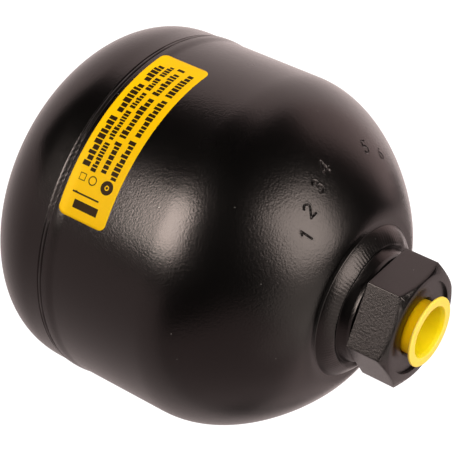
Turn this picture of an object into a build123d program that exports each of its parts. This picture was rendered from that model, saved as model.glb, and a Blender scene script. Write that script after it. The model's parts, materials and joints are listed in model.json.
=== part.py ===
from build123d import *
import os
from math import cos, radians, sin, sqrt, tan

# A one-litre welded diaphragm accumulator, standing on the stud of its gas side.
# The axis is Z with the oil port facing +Z, and z = 0 is the end face of the stud.
# The label is centred on -Y. Lengths are millimetres and angles are degrees.

# Pressure shell
body_radius = 67.0
wall = 6.0
gas_stand_off = 13.0
gas_straight = 7.3
gas_dome_depth = 37.4
gas_wall_handle = 29.6
gas_pole_handle = 22.7
fluid_straight = 42.6
fluid_dome_depth = 48.8
fluid_wall_handle = 25.1
crown_margin = 2.2
crown_handle = 6.34

# Girth weld
girth_weld_width = 2.9
girth_root_width = 0.8
girth_crown = 0.35
swell = 0.5
swell_length = 4.0

# Port fitting: hexagon, neck and spigot, with a G 1/2 thread
hex_across_flats = 41.0
hex_length = 15.0
hex_face_radius = 20.2
hex_chamfer_angle = 30.0
neck_radius = 19.2
neck_length = 9.2
spigot_radius = 15.0
spigot_clearance = 0.1
spot_face_radius = 17.5
spot_face_depth = 1.0
thread_minor_radius = 9.3155
thread_major_radius = 10.4775
thread_pitch = 1.814
thread_mouth_radius = 11.3
thread_depth = 16.6
thread_groove_depth = 9.2
drill_point_angle = 118.0
passage_radius = 6.0

# Collar weld between the neck and the crown
collar_valley_width = 2.8
collar_crest_width = 2.3
collar_toe_width = 4.5
collar_crest_height = 4.4
collar_valley_drop = 0.8
collar_neck_height = 6.0

# Diaphragm, its valve plate and its retaining ring
diaphragm_thickness = 2.5
diaphragm_gap = 0.3
bead_rise = 3.0
bead_height = 6.0
bead_thickness = 4.5
boss_radius = 17.0
boss_height = 5.0
plate_radius = 13.0
plate_thickness = 3.0
plate_edge = 0.5
bond_line = 0.05
retainer_thickness = 2.0
retainer_gap = 0.2
retainer_wall_gap = 0.1

# Gas side: adapter with an M28 stud, charging screw and seal
gas_seat_rise = 0.8
shoulder_radius = 17.0
shoulder_height = 4.0
stud_radius = 14.0
stud_chamfer = 1.5
gas_spigot_radius = 10.0
gas_spigot_reach = 5.0
gas_weld_leg = 3.0
gas_weld_root = 1.0
gas_weld_bulge = 0.35
screw_pocket_radius = 9.75
screw_pocket_depth = 9.5
screw_head_radius = 9.0
screw_head_height = 7.0
screw_shank_radius = 6.0
screw_shank_length = 9.0
screw_clearance = 0.1
screw_socket_flats = 6.0
screw_socket_depth = 4.5
screw_edge = 0.6
seal_thickness = 1.5
seal_outer_radius = 8.5

# Protective plug in the port
plug_gap = 0.2
plug_neck_radius = 9.95
plug_rim_radius = 13.1
plug_rim_thickness = 1.0
plug_rim_edge = 0.4
plug_stand_off = 5.0
plug_mouth_radius = 9.8
plug_wall = 1.0
plug_floor_radius = 7.9
plug_floor = 2.0
plug_end_edge = 0.8

# Label
label_from_angle = 238.5
label_sweep = 61.5
label_from_weld = 2.9
label_height = 20.3
label_thickness = 0.06
label_corner = 2.7

# Heights and radii that follow from the sizes above
collar_valley_radius = neck_radius + collar_valley_width
collar_crest_radius = collar_valley_radius + collar_crest_width
collar_foot_radius = collar_crest_radius + collar_toe_width
crown_radius = collar_foot_radius + crown_margin
weld_z = gas_stand_off + gas_dome_depth + gas_straight
gas_dome_z = weld_z - gas_straight
fluid_dome_z = weld_z + fluid_straight
crown_z = fluid_dome_z + fluid_dome_depth
crown_inner_z = crown_z - wall
hex_back_z = crown_z + neck_length
hex_face_z = hex_back_z + hex_length
port_floor_z = hex_face_z - spot_face_depth
gas_seat_z = gas_stand_off + gas_seat_rise
inner_radius = body_radius - wall
girth_half = girth_weld_width / 2
girth_root_half = girth_root_width / 2


def dome_points(inset, start_z, direction, depth, flat_radius, wall_handle, flat_handle):
    """Four control points of a dome profile that lies inset inside the outer surface."""
    radius = body_radius - inset
    depth_share = (depth - inset) / depth
    width_share = (radius - flat_radius) / (body_radius - flat_radius)
    end_z = start_z + direction * (depth - inset)
    return [
        (radius, start_z),
        (radius, start_z + direction * wall_handle * depth_share),
        (flat_radius + flat_handle * width_share, end_z),
        (flat_radius, end_z),
    ]


def fluid_dome(inset):
    """Dome on the port side, which ends on the flat crown."""
    return dome_points(
        inset, fluid_dome_z, 1, fluid_dome_depth, crown_radius, fluid_wall_handle, crown_handle
    )


def gas_dome(inset):
    """Dome on the gas side, which closes at its pole."""
    return dome_points(inset, gas_dome_z, -1, gas_dome_depth, 0, gas_wall_handle, gas_pole_handle)


# Gas-side shell: a short cylinder and a dome with a machined seat round its hole
gas_outer = gas_dome(0)
gas_inner = gas_dome(wall)
gas_hole_radius = gas_spigot_radius + spigot_clearance
with BuildPart() as gas_shell:
    with BuildSketch(Plane.XZ):
        with BuildLine():
            Line((body_radius, weld_z - girth_half), gas_outer[0])
            Bezier(*gas_outer)
            Line(gas_outer[3], gas_inner[3])
            Bezier(*reversed(gas_inner))
            Polyline(
                gas_inner[0],
                (inner_radius, weld_z - girth_root_half),
                (body_radius, weld_z - girth_half),
            )
        make_face()
    revolve(axis=Axis.Z)
    with BuildSketch(Plane.XY.offset(gas_inner[3][1] + wall)):
        Circle(gas_hole_radius)
    extrude(amount=-3 * wall, mode=Mode.SUBTRACT)
    with BuildSketch(Plane.XY.offset(gas_seat_z)):
        Circle(shoulder_radius)
    extrude(amount=-2 * gas_seat_rise, mode=Mode.SUBTRACT)
gas_shell.part.label = "gas_shell"

# Fluid-side shell: swelling at the weld, long cylinder, dome and flat crown
fluid_outer = fluid_dome(0)
fluid_inner = fluid_dome(wall)
swell_top_z = weld_z + girth_half + swell_length
with BuildPart() as fluid_shell:
    with BuildSketch(Plane.XZ):
        with BuildLine():
            Polyline(
                (body_radius + swell, weld_z + girth_half),
                (body_radius, swell_top_z),
                fluid_outer[0],
            )
            Bezier(*fluid_outer)
            Polyline(
                fluid_outer[3],
                (spigot_radius + spigot_clearance, crown_z),
                (spigot_radius + spigot_clearance, crown_inner_z),
                fluid_inner[3],
            )
            Bezier(*reversed(fluid_inner))
            Polyline(
                fluid_inner[0],
                (inner_radius, weld_z + girth_root_half),
                (body_radius + swell, weld_z + girth_half),
            )
        make_face()
    revolve(axis=Axis.Z)
fluid_shell.part.label = "fluid_shell"

# Girth weld: it fills the V between the two shells and stands a little proud
with BuildPart() as girth_weld:
    with BuildSketch(Plane.XZ):
        with BuildLine():
            ThreePointArc(
                (body_radius, weld_z - girth_half),
                (body_radius + swell / 2 + girth_crown, weld_z),
                (body_radius + swell, weld_z + girth_half),
            )
            Polyline(
                (body_radius + swell, weld_z + girth_half),
                (inner_radius, weld_z + girth_root_half),
                (inner_radius, weld_z - girth_root_half),
                (body_radius, weld_z - girth_half),
            )
        make_face()
    revolve(axis=Axis.Z)
girth_weld.part.label = "girth_weld"

# Port fitting: hexagon with a turned front chamfer, neck, spigot and oil passage.
# The thread is a bore at its minor radius. A relief groove one pitch wide parts the
# outer turns, which hold the plug, from the inner turns.
hex_corner_radius = hex_across_flats / sqrt(3)
hex_clear_radius = hex_corner_radius + 1
hex_clear_z = hex_face_z - (hex_clear_radius - hex_face_radius) * tan(radians(hex_chamfer_angle))
thread_end_z = port_floor_z - thread_depth
drill_point = (thread_minor_radius - passage_radius) / tan(radians(drill_point_angle / 2))
thread_start_z = port_floor_z - (thread_mouth_radius - thread_minor_radius)
groove_low_z = port_floor_z - thread_groove_depth
groove_high_z = groove_low_z + thread_pitch
with BuildPart() as port_fitting:
    with BuildSketch(Plane.XY.offset(hex_back_z)):
        RegularPolygon(hex_across_flats / 2, 6, major_radius=False, rotation=30)
    extrude(amount=hex_length)
    with BuildSketch(Plane.XZ):
        Polygon(
            (0, hex_back_z),
            (hex_clear_radius, hex_back_z),
            (hex_clear_radius, hex_clear_z),
            (hex_face_radius, hex_face_z),
            (0, hex_face_z),
            align=None,
        )
    revolve(axis=Axis.Z, mode=Mode.INTERSECT)
    with BuildSketch(Plane.XZ):
        Polygon(
            (0, crown_inner_z),
            (spigot_radius, crown_inner_z),
            (spigot_radius, crown_z),
            (neck_radius, crown_z),
            (neck_radius, hex_back_z),
            (0, hex_back_z),
            align=None,
        )
    revolve(axis=Axis.Z)
    with BuildSketch(Plane.XZ):
        Polygon(
            (0, crown_inner_z),
            (passage_radius, crown_inner_z),
            (passage_radius, thread_end_z - drill_point),
            (thread_minor_radius, thread_end_z),
            (thread_minor_radius, groove_low_z),
            (thread_major_radius, groove_low_z),
            (thread_major_radius, groove_high_z),
            (thread_minor_radius, groove_high_z),
            (thread_minor_radius, thread_start_z),
            (thread_mouth_radius, port_floor_z),
            (spot_face_radius, port_floor_z),
            (spot_face_radius, hex_face_z),
            (0, hex_face_z),
            align=None,
        )
    revolve(axis=Axis.Z, mode=Mode.SUBTRACT)
port_fitting.part.label = "port_fitting"

# Collar weld: a rounded ring on the crown, with a shallow valley before the neck
with BuildPart() as port_weld:
    with BuildSketch(Plane.XZ):
        with BuildLine():
            EllipticalCenterArc(
                (collar_crest_radius, crown_z),
                collar_toe_width,
                collar_crest_height,
                start_angle=0,
                arc_size=90,
            )
            Spline(
                (collar_crest_radius, crown_z + collar_crest_height),
                (collar_valley_radius, crown_z + collar_crest_height - collar_valley_drop),
                (neck_radius, crown_z + collar_neck_height),
                tangents=[(-1, 0), (0, 1)],
            )
            Polyline(
                (neck_radius, crown_z + collar_neck_height),
                (neck_radius, crown_z),
                (collar_foot_radius, crown_z),
            )
        make_face()
    revolve(axis=Axis.Z)
port_weld.part.label = "port_weld"

# Diaphragm: a rubber bowl close inside the shell, with a thick bead and a centre boss
diaphragm_outer = fluid_dome(wall + diaphragm_gap)
diaphragm_inner = fluid_dome(wall + diaphragm_gap + diaphragm_thickness)
diaphragm_top_z = crown_inner_z - diaphragm_gap
diaphragm_under_z = diaphragm_top_z - diaphragm_thickness
boss_under_z = diaphragm_top_z - boss_height
bead_outer_radius = inner_radius - diaphragm_gap
bead_inner_radius = bead_outer_radius - bead_thickness
bead_bottom_z = weld_z + bead_rise
bead_top_z = bead_bottom_z + bead_height
pocket_radius = plate_radius + bond_line
with BuildPart() as diaphragm:
    with BuildSketch(Plane.XZ):
        with BuildLine():
            Line((bead_outer_radius, bead_bottom_z), diaphragm_outer[0])
            Bezier(*diaphragm_outer)
            Polyline(
                diaphragm_outer[3],
                (pocket_radius, diaphragm_top_z),
                (pocket_radius, diaphragm_top_z - plate_thickness),
                (0, diaphragm_top_z - plate_thickness),
                (0, boss_under_z),
                (boss_radius, boss_under_z),
                (boss_radius, diaphragm_under_z),
                diaphragm_inner[3],
            )
            Bezier(*reversed(diaphragm_inner))
            Polyline(
                diaphragm_inner[0],
                (diaphragm_inner[0][0], bead_top_z),
                (bead_inner_radius, bead_top_z),
                (bead_inner_radius, bead_bottom_z),
                (bead_outer_radius, bead_bottom_z),
            )
        make_face()
    revolve(axis=Axis.Z)
diaphragm.part.label = "diaphragm"

# Valve plate: a steel disc in the pocket of the boss, which closes the oil passage
with BuildPart() as valve_plate:
    with BuildSketch(Plane.XY.offset(diaphragm_top_z - plate_thickness)):
        Circle(plate_radius)
    extrude(amount=plate_thickness)
    chamfer(valve_plate.edges().group_by(Axis.Z)[-1], plate_edge)
valve_plate.part.label = "valve_plate"

# Retaining ring: an L section that holds the bead from below and from inside
retainer_outer_radius = inner_radius - retainer_wall_gap
retainer_leg_radius = bead_inner_radius - retainer_gap
retainer_top_z = bead_bottom_z - retainer_gap
with BuildPart() as retaining_ring:
    with BuildSketch(Plane.XZ):
        Polygon(
            (retainer_leg_radius - retainer_thickness, retainer_top_z - retainer_thickness),
            (retainer_outer_radius, retainer_top_z - retainer_thickness),
            (retainer_outer_radius, retainer_top_z),
            (retainer_leg_radius, retainer_top_z),
            (retainer_leg_radius, bead_top_z),
            (retainer_leg_radius - retainer_thickness, bead_top_z),
            align=None,
        )
    revolve(axis=Axis.Z)
retaining_ring.part.label = "retaining_ring"

# Gas adapter: spigot through the shell, shoulder and stud, with a pocket for the screw
screw_bore_radius = screw_shank_radius + screw_clearance
with BuildPart() as gas_adapter:
    with BuildSketch(Plane.XZ):
        Polygon(
            (screw_bore_radius, gas_seat_z + gas_spigot_reach),
            (gas_spigot_radius, gas_seat_z + gas_spigot_reach),
            (gas_spigot_radius, gas_seat_z),
            (shoulder_radius, gas_seat_z),
            (shoulder_radius, gas_seat_z - shoulder_height),
            (stud_radius, gas_seat_z - shoulder_height),
            (stud_radius, stud_chamfer),
            (stud_radius - stud_chamfer, 0),
            (screw_pocket_radius, 0),
            (screw_pocket_radius, screw_pocket_depth),
            (screw_bore_radius, screw_pocket_depth),
            align=None,
        )
    revolve(axis=Axis.Z)
gas_adapter.part.label = "gas_adapter"

# Gas adapter weld: a fillet ring in the corner between the shoulder and the dome
gas_weld_radius = shoulder_radius + gas_weld_leg
gas_weld_top_z = gas_seat_z + gas_weld_leg
gas_weld_low_z = gas_seat_z - gas_weld_leg
with BuildPart() as gas_adapter_weld:
    with BuildSketch(Plane.XZ):
        with BuildLine():
            Polyline(
                (shoulder_radius, gas_weld_low_z),
                (shoulder_radius, gas_seat_z),
                (shoulder_radius - gas_weld_root, gas_seat_z),
                (shoulder_radius - gas_weld_root, gas_weld_top_z),
                (gas_weld_radius, gas_weld_top_z),
                (gas_weld_radius, gas_seat_z),
            )
            ThreePointArc(
                (gas_weld_radius, gas_seat_z),
                (
                    shoulder_radius + gas_weld_leg / 2 + gas_weld_bulge,
                    gas_seat_z - gas_weld_leg / 2 - gas_weld_bulge,
                ),
                (shoulder_radius, gas_weld_low_z),
            )
        make_face()
    revolve(axis=Axis.Z)
    add(gas_shell.part, mode=Mode.SUBTRACT)
gas_adapter_weld.part.label = "gas_adapter_weld"

# Charging screw: a round head with a hexagon socket, and a shank in the adapter
screw_under_z = screw_pocket_depth - seal_thickness
screw_face_z = screw_under_z - screw_head_height
with BuildPart() as charging_screw:
    with BuildSketch(Plane.XY.offset(screw_face_z)):
        Circle(screw_head_radius)
    extrude(amount=screw_head_height)
    chamfer(charging_screw.edges().group_by(Axis.Z)[0], screw_edge)
    with BuildSketch(Plane.XY.offset(screw_under_z)):
        Circle(screw_shank_radius)
    extrude(amount=screw_shank_length)
    chamfer(charging_screw.edges().group_by(Axis.Z)[-1], screw_edge)
    with BuildSketch(Plane.XY.offset(screw_face_z)):
        RegularPolygon(screw_socket_flats / 2, 6, major_radius=False, rotation=30)
    extrude(amount=screw_socket_depth, mode=Mode.SUBTRACT)
charging_screw.part.label = "charging_screw"

# Seal: a flat ring between the screw head and the floor of its pocket
with BuildPart() as charging_seal:
    with BuildSketch(Plane.XY.offset(screw_under_z)):
        Circle(seal_outer_radius)
        Circle(screw_shank_radius + screw_clearance, mode=Mode.SUBTRACT)
    extrude(amount=seal_thickness)
charging_seal.part.label = "charging_seal"

# Port plug: a hollow cup in the thread, with a seat cone in the mouth and a thin wide rim
plug_body_radius = thread_minor_radius - plug_gap
plug_seat_z = thread_start_z + plug_gap * (sqrt(2) - 1)
plug_neck_z = plug_seat_z + plug_neck_radius - plug_body_radius
plug_end_z = groove_low_z + plug_gap
plug_front_z = port_floor_z + plug_stand_off
plug_rim_z = plug_front_z - plug_rim_thickness
plug_floor_z = plug_end_z + plug_floor
with BuildPart() as port_plug:
    with BuildSketch(Plane.XZ):
        Polygon(
            (0, plug_end_z),
            (plug_body_radius - plug_end_edge, plug_end_z),
            (plug_body_radius, plug_end_z + plug_end_edge),
            (plug_body_radius, plug_seat_z),
            (plug_neck_radius, plug_neck_z),
            (plug_neck_radius, plug_rim_z),
            (plug_rim_radius, plug_rim_z),
            (plug_rim_radius, plug_front_z),
            (plug_mouth_radius, plug_front_z),
            (plug_neck_radius - plug_wall, plug_rim_z),
            (plug_body_radius - plug_wall, plug_seat_z),
            (plug_floor_radius, plug_floor_z),
            (0, plug_floor_z),
            align=None,
        )
    revolve(axis=Axis.Z)
    rim_edges = port_plug.edges().filter_by(GeomType.CIRCLE).filter_by(
        lambda edge: abs(edge.radius - plug_rim_radius) < plug_gap
    )
    fillet(rim_edges, plug_rim_edge)
port_plug.part.label = "port_plug"

# Label: a foil on the cylinder that follows the swelling beside the weld
label_low_z = weld_z + label_from_weld
label_high_z = label_low_z + label_height
label_low_radius = body_radius + swell * (swell_top_z - label_low_z) / swell_length
label_chord = 2 * (body_radius + swell + label_thickness) * sin(radians(label_sweep / 2))
start = radians(label_from_angle)
middle = radians(label_from_angle + label_sweep / 2)
label_edge = Plane((0, 0, 0), x_dir=(cos(start), sin(start), 0), z_dir=(sin(start), -cos(start), 0))
label_front = Plane((0, 0, 0), x_dir=(-sin(middle), cos(middle), 0), z_dir=(cos(middle), sin(middle), 0))
with BuildPart() as label:
    with BuildSketch(label_edge):
        Polygon(
            (label_low_radius, label_low_z),
            (label_low_radius + label_thickness, label_low_z),
            (body_radius + label_thickness, swell_top_z),
            (body_radius + label_thickness, label_high_z),
            (body_radius, label_high_z),
            (body_radius, swell_top_z),
            align=None,
        )
    revolve(axis=Axis.Z, revolution_arc=label_sweep)
    with BuildSketch(label_front):
        with Locations((0, (label_low_z + label_high_z) / 2)):
            RectangleRounded(label_chord, label_height, label_corner)
    extrude(amount=2 * body_radius, mode=Mode.INTERSECT)
label.part.label = "label"

pieces = [
    gas_shell,
    fluid_shell,
    girth_weld,
    port_fitting,
    port_weld,
    diaphragm,
    valve_plate,
    retaining_ring,
    gas_adapter,
    gas_adapter_weld,
    charging_screw,
    charging_seal,
    port_plug,
    label,
]
os.makedirs("parts", exist_ok=True)
for piece in pieces:
    export_step(piece.part, f"parts/{piece.part.label}.step")
    print(piece.part.label, round(piece.part.volume), "mm3", len(piece.part.solids()), "solid")
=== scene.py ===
"""Looks of a welded diaphragm accumulator: painted steel shells, port, plug and label.

The CAD frame gives every place and length. This file adds the visible surfaces, their
finishes, the studio and the camera. Lengths in the classes are millimetres, and only
build_mesh turns them to metres.
"""
import json
import logging
import math
from collections.abc import Callable
from dataclasses import dataclass, field
from enum import Enum
from functools import partial

import bpy
import numpy as np
from mathutils import Matrix, Vector


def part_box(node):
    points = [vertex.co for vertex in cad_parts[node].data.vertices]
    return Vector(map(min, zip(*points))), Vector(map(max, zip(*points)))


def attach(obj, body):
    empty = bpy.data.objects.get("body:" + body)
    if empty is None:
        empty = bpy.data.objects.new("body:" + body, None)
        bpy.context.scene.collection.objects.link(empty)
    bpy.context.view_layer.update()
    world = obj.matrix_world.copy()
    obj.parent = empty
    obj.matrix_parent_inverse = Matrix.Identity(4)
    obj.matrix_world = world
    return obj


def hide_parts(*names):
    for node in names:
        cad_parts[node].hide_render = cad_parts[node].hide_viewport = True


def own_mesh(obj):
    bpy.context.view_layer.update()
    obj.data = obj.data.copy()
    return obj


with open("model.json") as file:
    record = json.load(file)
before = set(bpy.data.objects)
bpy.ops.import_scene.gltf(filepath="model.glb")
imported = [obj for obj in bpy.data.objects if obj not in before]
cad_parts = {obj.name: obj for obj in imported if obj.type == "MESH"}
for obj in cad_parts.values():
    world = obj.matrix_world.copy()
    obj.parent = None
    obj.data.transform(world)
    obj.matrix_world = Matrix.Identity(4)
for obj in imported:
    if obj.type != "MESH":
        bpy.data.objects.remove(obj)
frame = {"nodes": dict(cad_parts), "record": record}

Pair = tuple[float, float]
Material = bpy.types.Material
Adder = Callable[..., bpy.types.Node]

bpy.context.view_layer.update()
MM = 0.001
LOG = logging.getLogger("accumulator")


class Slot(Enum):
    """Material slots of the record, named with each piece but not read."""

    PAINT = "vessel_paint"
    RUBBER = "nitrile_rubber"
    PLUG = "plug_plastic"
    LABEL = "label_foil"


class Body(Enum):
    """Bodies of the frame that the pieces ride on."""

    VESSEL = "vessel"
    SEPARATOR = "separator"
    PLUG = "plug"


def node_span(node: str) -> Pair:
    """Lowest and highest z of a CAD node.

    Args:
        node: name of the node in the frame.

    Returns:
        The two heights in millimetres.
    """
    low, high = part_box(node)
    return low.z / MM, high.z / MM


def mount_radius(name: str) -> float:
    """Radius in millimetres that the record states for a round mount."""
    return next(m["dims"]["r_mm"] for m in frame["record"]["mounts"] if m["name"] == name)


def linear(hex_colour: str) -> tuple[float, float, float, float]:
    """Turns an sRGB hex colour into the linear colour that shader sockets take.

    Args:
        hex_colour: six hex digits, with or without a leading hash.

    Returns:
        Red, green, blue and an alpha of 1.
    """
    digits = hex_colour.lstrip("#")
    srgb = np.array([int(digits[i:i + 2], 16) / 255 for i in (0, 2, 4)])
    rgb = np.where(srgb <= 0.04045, srgb / 12.92, ((srgb + 0.055) / 1.055) ** 2.4)
    return (*rgb.tolist(), 1.0)


def smooth(value: np.ndarray) -> np.ndarray:
    """Cubic ease 3t^2 - 2t^3 of a value clipped to 0 to 1."""
    t = np.clip(value, 0.0, 1.0)
    return t * t * (3 - 2 * t)


# Meshes


def build_mesh(
    name: str,
    grid: np.ndarray,
    *,
    wrap_rows: bool = False,
    wrap_columns: bool = True,
    cap_first: bool = False,
    cap_last: bool = False,
    sharp_deg: float = 32.0,
) -> bpy.types.Object:
    """Makes a mesh object from a grid of points.

    Each cell of the grid becomes a quad with the corners (row, column), (row, column+1),
    (row+1, column+1) and (row+1, column), which faces outwards when columns run
    anticlockwise and rows run upwards. A cap is a fan round the mean of the end row.

    Args:
        name: name of the object.
        grid: points in millimetres, rows by columns by 3.
        wrap_rows: joins the last row to the first.
        wrap_columns: joins the last column to the first.
        cap_first: closes the first row with a fan.
        cap_last: closes the last row with a fan.
        sharp_deg: edges that turn by more than this stay sharp.

    Returns:
        The new object, at the origin.
    """
    rows, columns = grid.shape[:2]
    index = np.arange(rows * columns).reshape(rows, columns)
    along = np.concatenate([index, index[:1]], axis=0) if wrap_rows else index
    along = np.concatenate([along, along[:, :1]], axis=1) if wrap_columns else along
    quads = np.stack([along[:-1, :-1], along[:-1, 1:], along[1:, 1:], along[1:, :-1]], axis=-1)
    quads = quads.reshape(-1, 4)
    points = grid.reshape(-1, 3)
    fans = []
    for wanted, row, flip in ((cap_first, 0, True), (cap_last, -1, False)):
        if wanted:
            centre = len(points)
            points = np.vstack([points, grid[row].mean(axis=0)])
            ring, ahead = along[row, :-1], along[row, 1:]
            fan = np.stack([ahead, ring] if flip else [ring, ahead], axis=-1)
            fans.append(np.column_stack([fan, np.full(len(fan), centre)]))
    triangles = np.vstack(fans) if fans else np.zeros((0, 3), dtype=int)
    loops = np.concatenate([quads.ravel(), triangles.ravel()]).astype(np.int32)
    sizes = np.concatenate([np.full(len(quads), 4), np.full(len(triangles), 3)])
    starts = np.concatenate([[0], np.cumsum(sizes)[:-1]]).astype(np.int32)
    mesh = bpy.data.meshes.new(name)
    mesh.vertices.add(len(points))
    mesh.vertices.foreach_set("co", (points * MM).astype(np.float32).ravel())
    mesh.loops.add(len(loops))
    mesh.loops.foreach_set("vertex_index", loops)
    mesh.polygons.add(len(sizes))
    mesh.polygons.foreach_set("loop_start", starts)
    mesh.update(calc_edges=True)
    mesh.validate()
    mesh.polygons.foreach_set("use_smooth", np.ones(len(mesh.polygons), dtype=bool))
    mesh.set_sharp_from_angle(angle=math.radians(sharp_deg))
    piece = bpy.data.objects.new(name, mesh)
    bpy.context.scene.collection.objects.link(piece)
    return piece


def install(
    piece: bpy.types.Object, body: Body, slot: Slot, replaced: str, *materials: Material
) -> None:
    """Gives a piece its finish and its body, and hides the CAD node that it stands for.

    Args:
        piece: the new object.
        body: the body that it rides on.
        slot: the record's material slot; not used.
        replaced: the CAD node that it replaces, or an empty string.
        materials: its finishes, the first of which covers it.
    """
    for material in materials:
        piece.data.materials.append(material)
    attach(piece, body.value)
    if replaced:
        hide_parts(replaced)
    LOG.info("%s: %d faces on %s", piece.name, len(piece.data.polygons), body.value)


def turned_piece(name: str, profile: np.ndarray, columns: int, **settings) -> bpy.types.Object:
    """Makes a mesh object of a closed profile that goes round the axis."""
    return build_mesh(name, turn(profile, around(columns)), wrap_rows=True, **settings)


def dress(node: str, material: Material) -> None:
    """Gives a CAD node that stays a finish of this file.

    Args:
        node: name of the node in the frame.
        material: its finish.
    """
    slots = frame["nodes"][node].data.materials
    slots.clear()
    slots.append(material)
    LOG.info("%s: kept from the frame", node)


def run(start: Pair, end: Pair, steps: int) -> np.ndarray:
    """Points on a straight run: start + t (end - start), without the last point.

    Args:
        start: first point, as radius and height.
        end: the point that the run stops short of.
        steps: number of points.

    Returns:
        Points of the run, steps by 2.
    """
    t = np.linspace(0, 1, steps, endpoint=False)[:, None]
    return np.array(start) * (1 - t) + np.array(end) * t


def bend(
    centre: Pair, radii: Pair, sweep: Pair, steps: int
) -> np.ndarray:
    """Points on an ellipse arc: centre + (a cos t, b sin t).

    Args:
        centre: centre of the arc, as radius and height.
        radii: half axes a and b.
        sweep: first and last t in degrees.
        steps: number of points, both ends included.

    Returns:
        Points of the arc, steps by 2.
    """
    t = np.radians(np.linspace(*sweep, steps))
    return np.column_stack([centre[0] + radii[0] * np.cos(t), centre[1] + radii[1] * np.sin(t)])


def bezier(points: list[Pair], t: np.ndarray) -> np.ndarray:
    """Cubic curve through its two end points, drawn towards its two handles.

    Args:
        points: end point, handle, handle, end point.
        t: curve parameters from 0 to 1.

    Returns:
        Points of the curve, one row for each t.
    """
    p = np.array(points, dtype=float)
    t = t[:, None]
    weights = ((1 - t) ** 3, 3 * (1 - t) ** 2 * t, 3 * (1 - t) * t ** 2, t ** 3)
    return weights[0] * p[0] + weights[1] * p[1] + weights[2] * p[2] + weights[3] * p[3]


def polar(radius: np.ndarray, angles: np.ndarray, z: np.ndarray) -> np.ndarray:
    """Points (r cos a, r sin a, z) of arrays that fit each other's shape."""
    x, y = radius * np.cos(angles), radius * np.sin(angles)
    return np.stack([x, y, z + 0 * x], axis=-1)


def turn(profile: np.ndarray, angles: np.ndarray) -> np.ndarray:
    """Carries a profile of radii and heights round the Z axis, as rows by columns by 3."""
    return polar(profile[:, :1], angles, profile[:, 1:])


def angle_from(start: np.ndarray | float, end: np.ndarray | float) -> np.ndarray:
    """Shortest turn from one angle to another, in radians and with its sign."""
    return np.angle(np.exp(1j * (end - start)))


def thread_wave(z: np.ndarray | float, angles: np.ndarray, pitch: float) -> np.ndarray:
    """Triangle wave from 0 to 1 of (z / pitch - a / 2 pi), which winds a thread up the axis."""
    return np.abs(np.mod(z / pitch - angles / (2 * np.pi), 1) - 0.5) * 2


def around(columns: int) -> np.ndarray:
    """Evenly spaced angles of a full turn, in radians."""
    return np.linspace(0, 2 * np.pi, columns, endpoint=False)


# Shader nodes


def add_node(tree: bpy.types.NodeTree, kind: str, inputs: dict, **settings: str) -> bpy.types.Node:
    """Adds a node with its settings and links.

    Args:
        tree: node tree that takes the node.
        kind: Blender's name for the type of node, without the leading ShaderNode.
        inputs: input name or number, to a value, to the output that feeds it, or to a
            node whose first output feeds it.
        settings: attributes of the node itself.

    Returns:
        The new node.
    """
    node = tree.nodes.new("ShaderNode" + kind)
    for name, value in settings.items():
        setattr(node, name, value)
    for key, value in inputs.items():
        source = value.outputs[0] if isinstance(value, bpy.types.Node) else value
        if isinstance(source, bpy.types.NodeSocket):
            tree.links.new(source, node.inputs[key])
        else:
            node.inputs[key].default_value = source
    return node


def new_material(name: str) -> tuple[Material, Adder, bpy.types.Node]:
    """Makes an empty material.

    Args:
        name: name of the material.

    Returns:
        The material, add_node for its tree, and the Object coordinates in millimetres.
    """
    material = bpy.data.materials.new(name)
    material.use_nodes = True
    material.node_tree.nodes.clear()
    add = partial(add_node, material.node_tree)
    metres = add("TexCoord", {}).outputs["Object"]
    return material, add, add("VectorMath", {0: metres, 3: 1 / MM}, operation="SCALE")


@dataclass(frozen=True)
class WetPaint:
    """Black solvent paint sprayed on steel, semi-gloss.

    Sprayed paint dries with orange peel, shallow cells that break up the edge of every
    highlight, and catches a few specks of dust. Over a forged skin the grit of the
    scale shows through.
    """

    name: str = "black_wet_paint"
    colour: str = "#020202"
    sheen_tint: str = "#ffedeb"
    speck_colour: str = "#8f8b88"
    roughness: float = 0.26
    spread: float = 0.03
    patch_width: float = 25.0
    ior: float = 1.45
    # Finer cells of the peel vanish in the render
    peel_width: float = 0.66
    peel_height: float = 0.075
    grit_width: float = 0.8
    grit_height: float = 0.0
    grit_roughness: float = 0.65
    speck_spacing: float = 7.0
    speck_size: float = 0.02

    def build(self) -> Material:
        """Builds the paint: peel and grit as bump, specks as spots of a paler colour.

        Returns:
            The material.
        """
        material, add, place = new_material(self.name)
        peel = add("TexNoise", {"Vector": place, "Scale": 1 / self.peel_width, "Detail": 2.0})
        normal = add("Bump", {"Height": peel, "Distance": self.peel_height * MM})
        if self.grit_height:
            grit = {"Vector": place, "Scale": 1 / self.grit_width, "Detail": 4.0}
            grain = add("TexNoise", grit | {"Roughness": self.grit_roughness})
            normal = add("Bump", {"Height": grain, "Distance": self.grit_height * MM, "Normal": normal})
        cells = add("TexVoronoi", {"Vector": place, "Scale": 1 / self.speck_spacing})
        speck = add(
            "Math", {0: cells.outputs["Distance"], 1: self.speck_size}, operation="LESS_THAN"
        )
        colours = {6: linear(self.colour), 7: linear(self.speck_colour)}
        patches = add("TexNoise", {"Vector": place, "Scale": 1 / self.patch_width, "Detail": 3.0})
        ends = {"To Min": self.roughness - self.spread, "To Max": self.roughness + self.spread}
        shader = {
            "Base Color": add("Mix", {0: speck} | colours, data_type="RGBA").outputs[2],
            "Roughness": add("MapRange", {"Value": patches} | ends),
            "IOR": self.ior,
            "Specular Tint": linear(self.sheen_tint),
            "Normal": normal,
        }
        add("OutputMaterial", {"Surface": add("BsdfPrincipled", shader)})
        return material


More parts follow.
